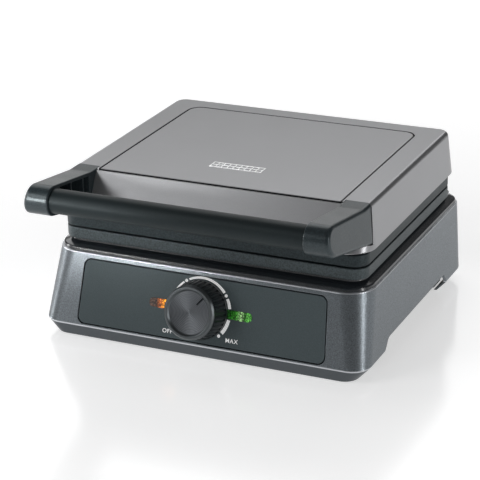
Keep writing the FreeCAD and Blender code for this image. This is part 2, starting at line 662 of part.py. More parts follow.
def waffle_plate(rim_z, sign):
    """Cast plate. sign +1 opens upwards from rim_z, -1 opens downwards."""
    def between(a, b):
        z0, z1 = rim_z - sign * a, rim_z - sign * b
        return min(z0, z1), max(z0, z1)
    z0, z1 = between(PLATE_DEEP + PLATE_WALL, 0)
    plate = slab(PLATE_HALF, PLATE_FRONT, PLATE_REAR, z0, z1, PLATE_CORNER, PLATE_CORNER)
    outer = PLATE_HALF - CAVITY_RIM
    front, rear = PLATE_FRONT + CAVITY_RIM, PLATE_REAR - CAVITY_RIM
    deep0, deep1 = between(PLATE_DEEP, 0)
    low, high = (deep0, deep1 + 0.01) if sign > 0 else (deep1, deep0 - 0.01)
    for side in SIDES:
        x0, x1 = sorted((side * CAVITY_INNER, side * outer))
        mid = Vector((x0 + x1) / 2, (front + rear) / 2, 0)
        floor = rectangle(mid, (x1 - x0) / 2 - CAVITY_DRAFT, (rear - front) / 2 - CAVITY_DRAFT, low)
        mouth = rectangle(mid, (x1 - x0) / 2, (rear - front) / 2, high)
        plate = plate.cut(Part.makeLoft([floor, mouth], True, True))
        for col in range(PIN_COLS):
            for row in range(PIN_ROWS):
                centre = mid + Vector((col - (PIN_COLS - 1) / 2) * PIN_PITCH_X,
                                      (row - (PIN_ROWS - 1) / 2) * PIN_PITCH_Y, 0)
                plate = plate.fuse(plate_pin(centre, low, low + sign * PIN_H))
    return plate.removeSplitter()


def heating_element(z):
    """W-shaped tube heater, its turns as arcs, ends pointing to the rear."""
    xs, front, rear = ELEMENT_XS, ELEMENT_FRONT, ELEMENT_REAR
    middle = rear - ELEMENT_SHORT
    radius = (xs[1] - xs[0]) / 2
    runs = ((rear, front), (front, middle), (middle, front), (front, rear))
    edges = []
    for i, (x, (start, end)) in enumerate(zip(xs, runs)):
        edges.append(Part.makeLine(Vector(x, start, z), Vector(x, end, z)))
        if i < len(xs) - 1:
            out = math.copysign(radius, end - start)
            edges.append(Part.Arc(Vector(x, end, z), Vector(x + radius, end + out, z),
                                  Vector(xs[i + 1], end, z)).toShape())
    circle = Part.Wire([Part.makeCircle(ELEMENT_R, Vector(xs[0], rear, z), Vector(0, 1, 0))])
    return Part.Wire(edges).makePipeShell([circle], True, False)


def lower_ring():
    return ring(RING_HALF, RING_FRONT, RING_REAR, RING_LOW_Z, PART_LOW_Z, RING_CORNER, RING_WIDTH)


def upper_ring():
    return ring(RING_HALF, RING_FRONT, RING_REAR, PART_HIGH_Z, LID_LOW_Z, RING_CORNER, RING_WIDTH)


def terminal_block():
    body = box(GLAND_X - TERMINAL_HALF, GLAND_X + TERMINAL_HALF, TERMINAL_Y - TERMINAL_DEEP,
               TERMINAL_Y + TERMINAL_DEEP, FLOOR_Z + FLOOR_THICK, TERMINAL_TOP_Z)
    for i in (-1, 0, 1):
        body = body.cut(cylinder(TERMINAL_HOLE_R, Vector(GLAND_X + i * TERMINAL_PITCH, TERMINAL_Y,
                                                         TERMINAL_TOP_Z - 6), UP, 10))
    return body


def thermal_fuse():
    """Fuse in a clip under the lower plate."""
    y = (PLATE_FRONT + PLATE_REAR) / 2
    top = LOWER_PLATE_BACK
    axis_z = top - FUSE_SHEET - FUSE_R
    clip = box(-FUSE_HALF, FUSE_HALF, y - FUSE_CLIP_HALF, y + FUSE_CLIP_HALF, top - FUSE_SHEET, top)
    cradle = box(-FUSE_HALF, FUSE_HALF, y - FUSE_R, y + FUSE_R, axis_z, top)
    tube = cylinder(FUSE_R, Vector(-FUSE_LONG / 2, y, axis_z), RIGHT, FUSE_LONG)
    return clip.fuse(tube).fuse(cradle).removeSplitter()


# ---- hinge -----------------------------------------------------------------
def hinge_ears():
    """Two-ear brackets on the housing's rear wall, one for each lid knuckle."""
    shapes = []
    back = HINGE_Y + KNUCKLE_R
    reach = KNUCKLE_W / 2 + EAR_GAP
    for side in SIDES:
        mid = side * HINGE_X
        bracket = box(mid - reach, mid + reach, BASE_REAR, BASE_REAR + WEB_THICK, EAR_LOW_Z, WEB_TOP_Z)
        for x0 in (mid - reach - EAR_W, mid + reach):
            cheek = polygon([(BASE_REAR, EAR_LOW_Z), (HINGE_Y, EAR_LOW_Z), (back, EAR_BACK_Z),
                             (back, HINGE_Z), (BASE_REAR, HINGE_Z)],
                            lambda y, z: Vector(x0, y, z)).extrude(Vector(EAR_W, 0, 0))
            eye = cylinder(KNUCKLE_R, Vector(x0, HINGE_Y, HINGE_Z), RIGHT, EAR_W)
            bracket = bracket.fuse(cheek).fuse(eye)
        bracket = bracket.cut(cylinder(PIN_R, Vector(mid - 40, HINGE_Y, HINGE_Z), RIGHT, 80))
        shapes.append(bracket.removeSplitter())
    return Part.makeCompound(shapes)


def hinge_pins():
    reach = KNUCKLE_W / 2 + EAR_GAP + EAR_W
    return Part.makeCompound([cylinder(PIN_R, Vector(side * HINGE_X - reach, HINGE_Y, HINGE_Z),
                                       RIGHT, 2 * reach) for side in SIDES])


def lid_knuckles():
    shapes = []
    for side in SIDES:
        x0 = side * HINGE_X - KNUCKLE_W / 2
        arm = polygon([(RING_REAR, PART_HIGH_Z + 1), (HINGE_Y - 3, PART_HIGH_Z - 0.5),
                       (HINGE_Y + 3, HINGE_Z + KNUCKLE_R * 0.85), (RING_REAR, LID_LOW_Z)],
                      lambda y, z: Vector(x0, y, z)).extrude(Vector(KNUCKLE_W, 0, 0))
        arm = arm.fuse(cylinder(KNUCKLE_R, Vector(x0, HINGE_Y, HINGE_Z), RIGHT, KNUCKLE_W))
        arm = arm.cut(cylinder(PIN_R + PIN_PLAY, Vector(x0 - 1, HINGE_Y, HINGE_Z), RIGHT,
                               KNUCKLE_W + 2))
        shapes.append(arm.removeSplitter())
    return Part.makeCompound(shapes)


# ---- lid -------------------------------------------------------------------
def lid_outer(inset, top_drop=0.0):
    """Lid's outer form, or the same form inset all round for its hollow."""
    low = outline(LID_LOW_HALF - inset, LID_LOW_FRONT + inset, LID_LOW_REAR - inset, LID_LOW_Z,
                  LID_LOW_CORNER - inset, LID_LOW_CORNER - inset)
    top = outline(LID_TOP_HALF - inset, LID_FRONT + inset, LID_TOP_REAR - inset, LID_TOP_Z,
                  LID_FRONT_CORNER, LID_TOP_CORNER - inset)
    body = loft(low, top)
    if top_drop:
        body = body.common(box(-FAR, FAR, -FAR, FAR, 0, LID_TOP_Z - top_drop))
    return body


def lid_blank():
    body = rounded(lid_outer(0), LID_HEM_ROUND, lambda e: flat_at(e, LID_LOW_Z))

    def top_edge(e):
        b = e.BoundBox
        return b.ZMin > LID_TOP_Z - 1e-3 and b.YMax > LID_FRONT + 4
    return rounded(body, LID_EDGE_ROUND, top_edge)


def arm_zone():
    """Space of the handle arm, from its inner face outwards, as the side view shows it."""
    return arm_side_face().extrude(Vector(ARM_BLANK, 0, 0))


def tangent_point(y, z, turn):
    """Where a line from (y, z) touches the nose circle; turn picks the upper or lower one."""
    dy, dz = BAR_Y - y, BAR_Z - z
    reach = math.hypot(dy, dz)
    angle = math.atan2(dz, dy) + turn * math.asin(NOSE_R / reach)
    run = math.sqrt(reach ** 2 - NOSE_R ** 2)
    return y + run * math.cos(angle), z + run * math.sin(angle)


def soft_corner(before, corner, after, radius):
    """Start, middle and end of the arc that rounds a corner of a side view."""
    def unit(p, q):
        length = math.hypot(q[0] - p[0], q[1] - p[1])
        return (q[0] - p[0]) / length, (q[1] - p[1]) / length
    back, ahead = unit(corner, before), unit(corner, after)
    half = math.acos(back[0] * ahead[0] + back[1] * ahead[1]) / 2
    run, reach = radius / math.tan(half), radius / math.sin(half) - radius
    middle = unit((0, 0), (back[0] + ahead[0], back[1] + ahead[1]))
    return [(corner[0] + run * back[0], corner[1] + run * back[1]),
            (corner[0] + reach * middle[0], corner[1] + reach * middle[1]),
            (corner[0] + run * ahead[0], corner[1] + run * ahead[1])]


def arm_side_face():
    ramp = (ARM_RAMP_Y, LID_TOP_Z)
    nose_top = tangent_point(*ramp, -1)
    nose_low = tangent_point(*ARM_BELLY, 1)
    seam_top = (ARM_SEAM_TOP, LID_TOP_Z)
    under = soft_corner(nose_low, ARM_BELLY, ARM_SEAM_LOW, ARM_BEND_R)
    over = soft_corner(seam_top, ramp, nose_top, ARM_BEND_R)

    def arc(points):
        return Part.Arc(*[Vector(ARM_INNER, *p) for p in points]).toShape()

    def line(p, q):
        return Part.makeLine(Vector(ARM_INNER, *p), Vector(ARM_INNER, *q))
    return Part.Face(Part.Wire([
        arc([nose_top, (BAR_Y - NOSE_R, BAR_Z), nose_low]), line(nose_low, under[0]), arc(under),
        line(under[2], ARM_SEAM_LOW), line(ARM_SEAM_LOW, seam_top), line(seam_top, over[0]),
        arc(over), line(over[2], nose_top)]))


def lid_side_space():
    """Everything inside the plane of the lid's right side wall, carried on forwards."""
    slope = (LID_LOW_HALF - LID_TOP_HALF) / (LID_TOP_Z - LID_LOW_Z)
    high, low = LID_TOP_Z + 15, LID_LOW_Z - 10
    face = polygon([(0, low), (LID_TOP_HALF + slope * (LID_TOP_Z - low), low),
                    (LID_TOP_HALF + slope * (LID_TOP_Z - high), high), (0, high)],
                   lambda x, z: Vector(x, LID_FRONT - 2 * HANDLE_REACH, z))
    return face.extrude(Vector(0, FAR, 0))


def arm_hollow():
    """Space inside the arm, open on its inner side, with two ribs and a screw boss left standing."""
    space = arm_side_face().makeOffset2D(-ARM_WALL).extrude(Vector(ARM_HOLLOW, 0, 0))
    space = space.cut(cylinder(NOSE_R, Vector(ARM_INNER - 1, BAR_Y, BAR_Z), RIGHT, ARM_HOLLOW + 2))
    space = space.cut(box(ARM_INNER, FAR, ARM_HOLLOW_REAR, FAR, 0, FAR))
    for y in ARM_RIBS:
        space = space.cut(box(ARM_INNER + ARM_RIB_BACK, FAR, y - ARM_RIB_THICK / 2, y + ARM_RIB_THICK / 2,
                              0, FAR))
    return space.cut(cylinder(ARM_SCREW_BOSS, Vector(ARM_INNER + ARM_RIB_BACK, *ARM_SCREW), RIGHT, 30))


def handle_arm_right():
    arm = arm_zone().common(lid_side_space())

    def outer_edge(e):
        b = e.BoundBox
        return b.XMin > ARM_INNER + 10 and b.YLength > 1
    arm = rounded(arm, ARM_EDGE_ROUND, outer_edge)

    def inner_edge(e):
        b = e.BoundBox
        return b.XMax < ARM_INNER + 1e-3 and b.YMin < ARM_RAMP_Y - 12 and b.YLength > 1
    arm = rounded(arm, ARM_INNER_ROUND, inner_edge)
    arm = arm.cut(arm_hollow())
    screw_hole = cylinder(SCREW_R, Vector(ARM_INNER, *ARM_SCREW), RIGHT, 20)
    core_seat = cylinder(CORE_R, Vector(ARM_INNER - 1, BAR_Y, BAR_Z), RIGHT, CORE_REACH - ARM_INNER + 1)
    plate_space = slab(PLATE_HALF + 0.5, PLATE_FRONT - 0.5, PLATE_REAR, 90, UPPER_PLATE_BACK + 0.6,
                       PLATE_CORNER, PLATE_CORNER)
    return arm.cut(screw_hole).cut(core_seat).cut(plate_space)


def handle_core():
    return cylinder(CORE_R, Vector(-CORE_REACH, BAR_Y, BAR_Z), RIGHT, 2 * CORE_REACH)


def handle_bar():
    body = cylinder(BAR_R, Vector(-ARM_INNER, BAR_Y, BAR_Z), RIGHT, 2 * ARM_INNER)
    return body.cut(cylinder(CORE_R, Vector(-ARM_INNER - 1, BAR_Y, BAR_Z), RIGHT, 300))


def front_slope_space(depth):
    """Slab just under the lid's front slope, depth thick, between the arms."""
    lean = (LID_FRONT - LID_LOW_FRONT) / (LID_TOP_Z - LID_LOW_Z)
    low = LID_LOW_Z - 1.0        # carried on below the lid's hem
    y_low = LID_LOW_FRONT + (low - LID_LOW_Z) * lean
    back = depth * math.sqrt(1 + lean * lean)
    face = polygon([(y_low, low), (y_low + back, low), (LID_FRONT + back, LID_TOP_Z), (LID_FRONT, LID_TOP_Z)],
                   lambda y, z: Vector(-ARM_INNER, y, z))
    return face.extrude(Vector(2 * ARM_INNER, 0, 0))


def top_panel_space(grow, z0, z1):
    front = TOP_PANEL_FRONT - grow
    face = Part.Face(outline(TOP_PANEL_HALF - SEAM / 2 + grow, front, TOP_PANEL_REAR - SEAM / 2 + grow,
                             z0, 0.6, TOP_PANEL_CORNER - SEAM / 2 + grow))
    return face.extrude(Vector(0, 0, z1 - z0))


def lid_shell():
    shell = lid_blank().cut(lid_outer(LID_WALL, LID_ROOF))
    shell = shell.cut(top_panel_space(SEAM, LID_TOP_Z - TOP_PANEL_THICK, LID_TOP_Z + 5))
    shell = shell.cut(front_slope_space(FRONT_PANEL_THICK).common(
        box(-FAR, FAR, -FAR, FAR, FRONT_PANEL_LOW, FAR)))
    zone = arm_zone()
    return shell.cut(zone).cut(mirrored(zone))


def lid_top_panel():
    panel = top_panel_space(0, LID_TOP_Z - TOP_PANEL_THICK, LID_TOP_Z)
    return rounded(panel, TOP_PANEL_ROUND, lambda e: flat_at(e, LID_TOP_Z)
                   and e.BoundBox.YMax < TOP_PANEL_FRONT + 0.1)


def lid_front_panel():
    panel = front_slope_space(FRONT_PANEL_THICK)
    half = ARM_INNER - FRONT_PANEL_GAP
    panel = panel.common(box(-half, half, -FAR, FAR, FRONT_PANEL_LOW, FRONT_PANEL_TOP))
    return panel.cut(top_panel_space(SEAM, LID_TOP_Z - TOP_PANEL_THICK, LID_TOP_Z + 5))


def upper_reflector():
    return tray(UPPER_PLATE_BACK + SHEET, LID_TOP_Z - LID_ROOF, SHEET, PLATE_HALF - 8,
                PLATE_FRONT + 12, PLATE_REAR - 8, False)


def upper_mounts():
    """Four pillars between the upper tray and the plate, with the heater under the tray."""
    low = UPPER_PLATE_BACK
    high = LID_TOP_Z - LID_ROOF - SHEET
    return Part.makeCompound([cylinder(PILLAR_R, Vector(side * PILLAR_X, y, low), UP, high - low)
                              for side in SIDES for y in PILLAR_YS])


def handle_screws():
    return both(screw(3.2, 1.6, SCREW_R, 12.0, Vector(ARM_INNER + ARM_RIB_BACK, *ARM_SCREW), RIGHT))


# ---- write every node ------------------------------------------------------
NODES = {
    "base_housing": base_housing,
    "base_top_bezel": base_top_bezel,
    "bottom_plate": bottom_plate,
    "rubber_feet": rubber_feet,
    "support_posts": support_posts,
    "base_screws": base_screws,
    "control_panel": control_panel,
    "control_carrier": control_carrier,
    "power_lamp_lens": lambda: lamp_lens(-1),
    "ready_lamp_lens": lambda: lamp_lens(1),
    "indicator_lamps": indicator_lamps,
    "thermostat": thermostat,
    "thermostat_shaft": thermostat_shaft,
    "knob": knob,
    "knob_disc": knob_disc,
    "knob_pointer": knob_pointer,
    "lower_reflector": lower_reflector,
    "lower_plate_frame": lower_ring,
    "lower_waffle_plate": lambda: waffle_plate(PART_LOW_Z - RIM_STEP, 1),
    "lower_heating_element": lambda: heating_element(LOWER_PLATE_BACK - ELEMENT_R + ELEMENT_SINK),
    "thermal_fuse": thermal_fuse,
    "terminal_block": terminal_block,
    "cord_gland": cord_gland,
    "hinge_brackets": hinge_ears,
    "hinge_pins": hinge_pins,
    "lid_hinge_knuckles": lid_knuckles,
    "upper_plate_frame": upper_ring,
    "upper_waffle_plate": lambda: waffle_plate(PART_HIGH_Z + RIM_STEP, -1),
    "upper_heating_element": lambda: heating_element(UPPER_PLATE_BACK + ELEMENT_R - ELEMENT_SINK),
    "upper_reflector": upper_reflector,
    "upper_pillars": upper_mounts,
    "lid_shell": lid_shell,
    "lid_top_panel": lid_top_panel,
    "lid_front_panel": lid_front_panel,
    "handle_arm_left": lambda: mirrored(handle_arm_right()),
    "handle_arm_right": handle_arm_right,
    "handle_bar": handle_bar,
    "handle_core": handle_core,
    "handle_screws": handle_screws,
}

os.makedirs("parts", exist_ok=True)
for name, make in NODES.items():
    solid = make()
    print(name, solid.isValid(), len(solid.Solids), round(solid.Volume / 1000, 2))
    solid.exportStep("parts/%s.step" % name)
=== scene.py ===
import bpy
import bmesh
import json
import math
from mathutils import Matrix, Vector


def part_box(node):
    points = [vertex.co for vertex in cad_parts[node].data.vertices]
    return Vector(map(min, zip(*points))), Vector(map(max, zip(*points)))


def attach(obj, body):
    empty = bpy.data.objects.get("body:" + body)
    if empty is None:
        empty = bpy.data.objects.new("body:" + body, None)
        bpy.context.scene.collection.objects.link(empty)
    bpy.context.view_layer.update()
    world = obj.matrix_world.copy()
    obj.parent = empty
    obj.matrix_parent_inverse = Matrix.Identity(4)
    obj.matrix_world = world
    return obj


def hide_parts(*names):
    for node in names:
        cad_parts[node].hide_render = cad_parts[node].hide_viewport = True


# Looks of the waffle maker: materials, printed marks, lamps, knob disc, light, floor and camera.
# Metres, in the frame of the CAD model. +X right, -Y front, +Z up.

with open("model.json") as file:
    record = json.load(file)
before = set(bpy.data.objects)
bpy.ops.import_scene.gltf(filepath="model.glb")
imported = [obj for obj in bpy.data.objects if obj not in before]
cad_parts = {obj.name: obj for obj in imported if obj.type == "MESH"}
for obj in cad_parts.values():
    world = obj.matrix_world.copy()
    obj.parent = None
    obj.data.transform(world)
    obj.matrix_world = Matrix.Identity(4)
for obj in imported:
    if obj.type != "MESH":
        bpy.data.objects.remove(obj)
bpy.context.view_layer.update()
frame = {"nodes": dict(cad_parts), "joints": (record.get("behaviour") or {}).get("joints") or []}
nodes = frame["nodes"]
MM = 0.001
BLACK, WHITE = (0, 0, 0), (1, 1, 1)


def scaled(color, share):
    return tuple(min(c * share, 1) for c in color)


# ---- places worked out from the frame ---------------------------------------
def joint(name):
    return next(j for j in frame["joints"] if j["name"] == name)


FACE_ORIGIN = Vector(joint("knob_turn")["pos_m"])
FACE_NORMAL = Vector(joint("knob_turn")["axis"]).normalized()
FACE_RIGHT = Vector((1, 0, 0))
FACE_UP = FACE_NORMAL.cross(FACE_RIGHT)
FACE = Matrix((
    (FACE_RIGHT.x, FACE_UP.x, FACE_NORMAL.x, FACE_ORIGIN.x),
    (FACE_RIGHT.y, FACE_UP.y, FACE_NORMAL.y, FACE_ORIGIN.y),
    (FACE_RIGHT.z, FACE_UP.z, FACE_NORMAL.z, FACE_ORIGIN.z),
    (0, 0, 0, 1)))


def face_box(node):
    """Lowest and highest corner of a node in the control face's own axes."""
    back = FACE.inverted()
    points = [back @ v.co for v in nodes[node].data.vertices]
    return (Vector([min(p[i] for p in points) for i in range(3)]),
            Vector([max(p[i] for p in points) for i in range(3)]))


# ---- material kit -------------------------------------------------------------
class Finish:
    """A principled material and the small node chains that most finishes share."""

    def __init__(self, name, color, roughness, metallic=0.0, coat=0.0, coat_roughness=0.1, specular=0.5):
        self.mat = bpy.data.materials.new(name)
        self.mat.use_nodes = True
        self.tree = self.mat.node_tree
        self.shader = self.tree.nodes["Principled BSDF"]
        self.color = color
        self.roughness = roughness
        self.set("Base Color", (*color, 1))
        self.set("Roughness", roughness)
        self.set("Metallic", metallic)
        self.set("Coat Weight", coat)
        self.set("Coat Roughness", coat_roughness)
        self.set("Specular IOR Level", specular)
        self.position = self.tree.nodes.new("ShaderNodeTexCoord").outputs["Object"]
        self.normal = None

    def set(self, socket, value):
        self.shader.inputs[socket].default_value = value

    def node(self, kind, **inputs):
        made = self.tree.nodes.new(kind)
        for key, value in inputs.items():
            made.inputs[key].default_value = value
        return made

    def link(self, a, b):
        self.tree.links.new(a, b)

    def noise(self, scale, detail=3.0, stretch=None):
        made = self.node("ShaderNodeTexNoise", Scale=scale, Detail=detail)
        self.link(self.stretched(stretch), made.inputs["Vector"])
        return made.outputs["Fac"]

    def cells(self, scale):
        """A random colour for each cell."""
        made = self.node("ShaderNodeTexVoronoi", Scale=scale)
        self.link(self.position, made.inputs["Vector"])
        return made.outputs["Color"]

    def cell_edges(self, scale):
        """Distance to the nearest edge of the same cells."""
        made = self.node("ShaderNodeTexVoronoi", Scale=scale)
        made.feature = "DISTANCE_TO_EDGE"
        self.link(self.position, made.inputs["Vector"])
        return made.outputs["Distance"]

    def stretched(self, stretch):
        if stretch is None:
            return self.position
        mapping = self.node("ShaderNodeMapping", Scale=stretch)
        self.link(self.position, mapping.inputs["Vector"])
        return mapping.outputs["Vector"]

    def spread(self, factor, low, high):
        """Maps a 0 to 1 factor to the range low to high."""
        made = self.node("ShaderNodeMapRange")
        made.inputs["To Min"].default_value = low
        made.inputs["To Max"].default_value = high
        self.link(factor, made.inputs["Value"])
        return made.outputs["Result"]

    def mapped(self, value, start, end):
        """0 at start and 1 at end of a value's range."""
        made = self.node("ShaderNodeMapRange")
        made.inputs["From Min"].default_value = start
        made.inputs["From Max"].default_value = end
        self.link(value, made.inputs["Value"])
        return made.outputs["Result"]

    def vector_math(self, operation, value, constant=None):
        """A vector maths node on a socket and, for some operations, a constant vector."""
        made = self.tree.nodes.new("ShaderNodeVectorMath")
        made.operation = operation
        self.link(value, made.inputs[0])
        if constant is not None:
            made.inputs[1].default_value = constant
        return made

    def along(self, direction, start, end):
        """0 before start and 1 after end, in metres along a direction of the part's frame."""
        dot = self.vector_math("DOT_PRODUCT", self.position, direction)
        return self.mapped(dot.outputs["Value"], start, end)

    def away(self, start, end):
        """0 nearer than start to the origin and 1 beyond end, in metres."""
        length = self.vector_math("LENGTH", self.position)
        return self.mapped(length.outputs["Value"], start, end)

    def rings(self, pitch):
        """0 to 1 and back once per pitch, outwards from the knob's axis."""
        offset = self.vector_math("SUBTRACT", self.position, FACE_ORIGIN)
        turned = self.vector_math("CROSS_PRODUCT", offset.outputs["Vector"], FACE_NORMAL)
        length = self.vector_math("LENGTH", turned.outputs["Vector"])
        wave = self.tree.nodes.new("ShaderNodeMath")
        wave.operation = "PINGPONG"
        wave.inputs[1].default_value = pitch / 2
        self.link(length.outputs["Value"], wave.inputs[0])
        return self.mapped(wave.outputs["Value"], 0.0, pitch / 2)

    def ramp(self, factor, stops):
        """Colour ramp; stops are pairs of a place from 0 to 1 and a colour."""
        made = self.tree.nodes.new("ShaderNodeValToRGB")
        elements = made.color_ramp.elements
        while len(elements) < len(stops):
            elements.new(0.5)
        for element, (place, color) in zip(elements, stops):
            element.position = place
            element.color = (*color, 1)
        self.link(factor, made.inputs["Fac"])
        return made.outputs["Color"]

    def mixed(self, factor, a, b, blend="MIX"):
        """Mixes two colours or sockets."""
        mix = self.tree.nodes.new("ShaderNodeMix")
        mix.data_type = "RGBA"
        mix.blend_type = blend
        for socket, value in (("Factor", factor), ("A", a), ("B", b)):
            if isinstance(value, (float, tuple)):
                mix.inputs[socket].default_value = value if socket == "Factor" else (*value, 1)
            else:
                self.link(value, mix.inputs[socket])
        return mix.outputs["Result"]

    def tint(self, factor, change):
        """Varies the base colour by a share either side of its value."""
        self.link(self.mixed(factor, scaled(self.color, 1 - change), scaled(self.color, 1 + change)),
                  self.shader.inputs["Base Color"])

    def vary_roughness(self, factor, change):
        self.link(self.spread(factor, self.roughness - change, self.roughness + change),
                  self.shader.inputs["Roughness"])

    def soft_edges(self, radius):
        """Shades sharp edges as if they were rounded a little."""
        made = self.node("ShaderNodeBevel", Radius=radius)
        self.normal = made.outputs["Normal"]

    def bump(self, factor, strength, distance):
        made = self.node("ShaderNodeBump", Strength=strength, Distance=distance)
        self.link(factor, made.inputs["Height"])
        if self.normal:
            self.link(self.normal, made.inputs["Normal"])
        self.normal = made.outputs["Normal"]
        self.link(self.normal, self.shader.inputs["Normal"])


SMALL_EDGE = 0.4 * MM


def flake_paint(name, color, roughness, metallic, flake, grain):
    """Metallic paint: fine flakes in the colour and a slight orange peel."""
    finish = Finish(name, color, roughness, metallic)
    finish.soft_edges(SMALL_EDGE)
    finish.tint(finish.noise(2600, 2.0), flake)
    finish.vary_roughness(finish.noise(30, 4.0), 0.04)
    finish.bump(finish.noise(1500, 2.0), grain, 0.00004)
    finish.bump(finish.noise(90, 2.0), 0.05, 0.0002)
    return finish.mat


def housing_paint(name, color, painted_highlight_color, edges):
    """Metallic paint with painted shade below the lowest of the level edges and a painted highlight band
    along each of them.

    Edges are pairs of heights in metres, from the lowest up; each one is a painted highlight band.
    """
    finish = Finish(name, color, 0.33, 0.8)
    finish.soft_edges(2 * SMALL_EDGE)
    soft = 0.3 * MM
    top = edges[-1][1] + 0.5 * MM
    stops = [(0.0, BLACK)]
    for low, high in edges:
        stops += [((low - soft) / top, BLACK), (low / top, WHITE), (high / top, WHITE),
                  ((high + soft) / top, BLACK)]
    # painted highlight: light bands round the housing at the crease and along the top edge
    painted_highlight_mask = finish.ramp(finish.along((0, 0, 1), 0.0, top), stops)
    paint = finish.mixed(finish.noise(1100, 2.0), scaled(color, 1 - HOUSING_FLAKE),
                         scaled(color, 1 + HOUSING_FLAKE))
    # painted shade on the skirt below the crease
    crease = edges[0][0]
    body = finish.mixed(finish.along((0, 0, 1), crease - soft, crease), scaled(color, SKIRT_PAINTED_SHADE), paint)
    finish.link(finish.mixed(painted_highlight_mask, body, painted_highlight_color), finish.shader.inputs["Base Color"])
    finish.vary_roughness(finish.noise(30, 4.0), 0.04)
    finish.bump(finish.noise(1500, 2.0), 0.9, 0.00004)
    return finish.mat


def moulded(name, color, roughness, grain, size=1100.0, specular=0.5, tint=0.10):
    """Injection-moulded plastic with a spark-eroded grain."""
    finish = Finish(name, color, roughness, specular=specular)
    finish.set("Specular Tint", (0.86, 0.97, 1.0, 1))
    finish.soft_edges(SMALL_EDGE)
    speckle = finish.ramp(finish.noise(size * 0.9, 2.0), ((0.36, BLACK), (0.64, WHITE)))
    finish.tint(speckle, tint)
    finish.vary_roughness(finish.noise(45, 4.0), 0.05)
    finish.bump(finish.noise(size, 3.0), grain, 0.00008)
    return finish.mat


def plain_metal(name, color, roughness, stretch=(1, 1, 1), scale=400.0):
    finish = Finish(name, color, roughness, metallic=1.0)
    finish.tint(finish.noise(scale, 3.0, stretch), 0.12)
    finish.vary_roughness(finish.noise(scale * 0.5, 3.0, stretch), 0.08)
    finish.bump(finish.noise(scale, 3.0, stretch), 0.15, 0.00005)
    return finish.mat


def gloss_black(name, color):
    finish = Finish(name, color, 0.24, coat=0.5, coat_roughness=0.12)
    finish.tint(finish.noise(700, 2.0), 0.15)
    finish.vary_roughness(finish.noise(55, 4.0), 0.04)
    finish.bump(finish.noise(60, 2.0), 0.04, 0.0003)
    return finish.mat


def spun_metal(name, color):
    """Spun face whose rings follow the knob's own centre."""
    finish = Finish(name, color, 0.42, metallic=0.6)
    finish.tint(finish.rings(1.2 * MM), 0.35)
    finish.vary_roughness(finish.noise(60, 3.0), 0.04)
    finish.bump(finish.noise(1800, 2.0), 0.06, 0.00003)
    return finish.mat


FACETS = 520.0               # prism facets of a lens, per metre


def lens(name, color, side, start, end, stops, glow_strength):
    """Clear coloured plastic lit from inside, with prism facets and dark joints between them."""
    finish = Finish(name, color, 0.18, coat=0.2, coat_roughness=0.05)
    finish.set("IOR", 1.49)
    glow = finish.ramp(finish.along((side, 0, 0), start, end), stops)
    facets = finish.cells(FACETS)
    joint_lines = finish.ramp(finish.cell_edges(FACETS), ((0.02, (0.08, 0.08, 0.08)), (0.16, WHITE)))
    value = finish.ramp(facets, ((0.15, (0.25, 0.25, 0.25)), (0.85, WHITE)))
    lit = finish.mixed(1.0, finish.mixed(1.0, glow, value, "MULTIPLY"), joint_lines, "MULTIPLY")
    finish.link(lit, finish.shader.inputs["Emission Color"])
    finish.link(finish.mixed(1.0, finish.mixed(0.5, color, glow), joint_lines, "MULTIPLY"),
                finish.shader.inputs["Base Color"])
    finish.set("Emission Strength", glow_strength)
    finish.bump(facets, 0.3, 0.0003)
    return finish.mat


def knob_body(name, side_color, rim_color, rim_start):
    """Dark fluted sides and a lighter turned rim."""
    finish = Finish(name, side_color, 0.33)
    rim = finish.along(FACE_NORMAL, rim_start, rim_start + 0.3 * MM)
    grain = finish.noise(1400, 3.0)
    dark = finish.mixed(grain, scaled(side_color, 0.9), scaled(side_color, 1.1))
    light = finish.mixed(grain, scaled(rim_color, 0.95), scaled(rim_color, 1.05))
    finish.link(finish.mixed(rim, dark, light), finish.shader.inputs["Base Color"])
    finish.link(finish.spread(rim, 0.0, 0.8), finish.shader.inputs["Metallic"])
    finish.vary_roughness(finish.noise(60, 3.0), 0.04)
    finish.bump(grain, 0.15, 0.00006)
    return finish.mat


def print_with_painted_glow(name, color):
    """Opaque printing ink with a painted glow, so it stays brighter than the panel round it even in its
    shade.
    """
    finish = Finish(name, color, 0.5)
    finish.tint(finish.noise(1400, 3.0), 0.02)
    # painted glow: the ink gives off a little light of its own
    finish.set("Emission Color", (1, 1, 1, 1))
    finish.set("Emission Strength", 0.22)
    return finish.mat


def nonstick(name, color):
    finish = Finish(name, color, 0.42, coat=0.25, coat_roughness=0.3)
    finish.tint(finish.noise(1500, 3.0), 0.25)
    finish.vary_roughness(finish.noise(40, 4.0), 0.06)
    finish.bump(finish.noise(1700, 3.0), 0.25, 0.00006)
    return finish.mat


HOUSING_CREASE = 11.2 * MM   # height where the flared side meets the skirt
HOUSING_FLAKE = 0.65         # how far the flakes vary the paint, as a share of its colour
# painted shade: the skirt below the crease gets a darker colour
SKIRT_PAINTED_SHADE = 0.5            # colour below the crease, as a share of the colour above it
HOUSING_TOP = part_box("base_housing")[1].z
KNOB_TOP = max(FACE_NORMAL.dot(v.co) for v in nodes["knob"].data.vertices)
KNOB_RIM_DEEP = 4.0 * MM
AMBER_STOPS = ((0.0, (1.0, 0.62, 0.03)), (0.35, (1.0, 0.36, 0.02)), (0.55, (0.40, 0.09, 0.01)),
               (0.70, (0.012, 0.006, 0.004)), (0.85, (0.05, 0.03, 0.022)), (1.0, (0.006, 0.004, 0.003)))
GREEN_STOPS = ((0.0, (0.01, 0.05, 0.01)), (0.22, (0.015, 0.12, 0.01)), (0.42, (0.06, 0.40, 0.03)),
               (0.60, (0.55, 1.0, 0.40)), (0.72, (0.03, 0.16, 0.02)), (0.88, (0.16, 0.62, 0.10)),
               (1.0, (0.02, 0.12, 0.02)))
